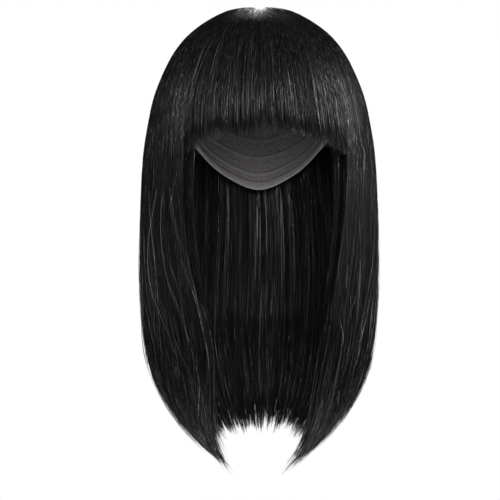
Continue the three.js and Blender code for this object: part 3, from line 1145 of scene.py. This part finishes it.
hair_mass("fringe_mass", fringe, ["fringe"], FRINGE_HAIR, *FRINGE_MASS)
hair_mass("curtain_mass", curtain, list(CURTAIN_SECTIONS), CURTAIN_HAIR, *CURTAIN_MASS)


def hair_piece(name, nodes, bundles, material):
    finished(name, nodes, strand_mesh(name, bundles), material)


# How many strands of each kind a section has, and how many rows each of them has
CURTAIN_COUNTS = {
    "parting": (56, 16),
    "long": (600, 17),
    "body": (560, 15),
    "ends": (1000, 6),
    "inside": (330, 8),
    "frayed": (330, 8),
}
FRINGE_COUNTS = {
    "parting": (60, 12),
    "long": (1000, 10),
    "body": (1000, 9),
    "ends": (1300, 5),
    "inside": (100, 8),
    "frayed": (150, 7),
}
FRINGE_STRAYS = (40, 10)
CURTAIN_STRAYS = (460, 11)

# How far along their sheets the fringe and the curtain are cut, and how ragged their cuts are
FRINGE_REACH = 0.34
CURTAIN_REACH = 1.0
FRINGE_RAG = 0.5
CURTAIN_RAG = 1.0

fringe_combing = Combing(
    fringe, dome_share=1.0, lock_cut=0.0015, wisp_cut=0.003, pull=1.35, kept=1.3
)
strands = section_strands(fringe_combing, 0, 1, FRINGE_COUNTS, FRINGE_REACH, FRINGE_RAG)
hair_piece("fringe_strands", ["fringe"], strands, FRONT_HAIR)

curtain_combing = Combing(
    curtain, dome_share=0.34, lock_cut=0.003, wisp_cut=0.003, pull=0.75, kept=0.75
)
for name, edges in CURTAIN_SECTIONS.items():
    strands = section_strands(curtain_combing, *edges, CURTAIN_COUNTS, CURTAIN_REACH, CURTAIN_RAG)
    if name in OPEN_EDGES:
        strands.append(brush(curtain_combing, OPEN_EDGES[name]))
    hair_piece(name + "_strands", [name], strands, STRAND_HAIR)

crossing = [strays(fringe_combing, *FRINGE_STRAYS, FRINGE_REACH)]
hair_piece("fringe_strays", ["fringe"], crossing, STRAY_HAIR)
crossing = [strays(curtain_combing, *CURTAIN_STRAYS, CURTAIN_REACH)]
hair_piece("curtain_strays", list(CURTAIN_SECTIONS), crossing, STRAY_HAIR)


# What stands round the wig

FLOOR_HEIGHT = -0.62
FLOOR_RADIUS = 1.2
FLOOR_SIDES = 64
FLOOR_GLOW = 0.55

LIGHT_TARGET = (0, 0, -0.1)

# The lights: name, place, width and height, power and tint
LIGHTS = (
    ("front box", (0.12, -1.25, 0.5), (1.5, 0.6), 29, (1, 0.99, 0.985)),
    ("fringe light", (0.02, -0.38, -0.06), (0.34, 0.06), 1.2, (1, 0.99, 0.985)),
    ("left box", (-1.7, -0.4, 0.5), (0.8, 1.0), 12, (1, 0.985, 0.97)),
    ("right box", (1.7, -0.2, 0.45), (0.8, 1.0), 30, (1, 0.985, 0.97)),
    ("crown light", (0.05, 0.8, 0.45), (0.25, 0.15), 1.6, (1, 0.99, 0.98)),
    ("back box", (-0.3, 1.5, 0.3), (1.2, 0.8), 14, (1, 0.99, 0.98)),
    ("low glow", (0, -0.05, -0.56), (0.12, 0.12), 1.0, (1, 1, 1)),
)

WHITE = (1, 1, 1, 1)
PALE_GREY = (0.86, 0.86, 0.86, 1)
ROOM_LIGHT = 0.07

LENS = 188.6
SENSOR_WIDTH = 36
DISTANCE = 2.2
ELEVATION = math.radians(2)
TARGET = (-0.0076, 0, -0.1966)


def placed(name, data, place, target):
    """An object in the scene at a place, aimed at a target."""
    holder = bpy.data.objects.new(name, data)
    holder.location = place
    direction = np.array(target) - np.array(holder.location)
    flat = math.hypot(direction[0], direction[1])
    holder.rotation_euler = (
        math.pi / 2 + math.atan2(direction[2], flat),
        0,
        math.atan2(direction[1], direction[0]) - math.pi / 2,
    )
    bpy.context.scene.collection.objects.link(holder)
    return holder


# The floor
mesh = bpy.data.meshes.new("floor")
bm = bmesh.new()
bmesh.ops.create_circle(bm, cap_ends=True, segments=FLOOR_SIDES, radius=FLOOR_RADIUS)
bmesh.ops.translate(bm, verts=bm.verts, vec=(0, 0, FLOOR_HEIGHT))
bm.to_mesh(mesh)
bm.free()
floor = bpy.data.objects.new("floor", mesh)
bpy.context.scene.collection.objects.link(floor)
material, tree, shader = new_material("Pale floor")
seen = node(tree, "LightPath", {}).outputs["Is Camera Ray"]
looks = {
    "Base Color": PALE_GREY,
    "Roughness": 0.8,
    "Emission Color": WHITE,
    "Emission Strength": calculate(tree, "MULTIPLY", seen, FLOOR_GLOW),
}
feed(tree, shader.inputs, looks)
mesh.materials.append(material)

# The lights
for name, place, size, power, tint in LIGHTS:
    light = bpy.data.lights.new(name, "AREA")
    light.shape = "RECTANGLE"
    light.size, light.size_y = size
    light.energy = power
    light.color = tint
    holder = placed(name, light, place, LIGHT_TARGET)
    holder.visible_camera = False

# The white room, which lights the hair less than it is seen
world = bpy.data.worlds.new("White room")
bpy.context.scene.world = world
world.use_nodes = True
tree = world.node_tree
white = next(n for n in tree.nodes if n.type == "BACKGROUND")
white.inputs["Color"].default_value = WHITE
lit = node(tree, "Background", {"Color": WHITE, "Strength": ROOM_LIGHT})
seen = node(tree, "LightPath", {}).outputs["Is Camera Ray"]
either = {0: seen, 1: lit.outputs[0], 2: white.outputs[0]}
choose = node(tree, "MixShader", either)
out = next(n for n in tree.nodes if n.type == "OUTPUT_WORLD")
tree.links.new(choose.outputs[0], out.inputs["Surface"])

bpy.context.scene.view_settings.view_transform = "Standard"

# The camera
camera = bpy.data.cameras.new("camera")
camera.lens = LENS
camera.sensor_width = SENSOR_WIDTH
camera_place = (
    TARGET[0],
    TARGET[1] - DISTANCE * math.cos(ELEVATION),
    TARGET[2] + DISTANCE * math.sin(ELEVATION),
)
bpy.context.scene.camera = placed("camera", camera, camera_place, TARGET)
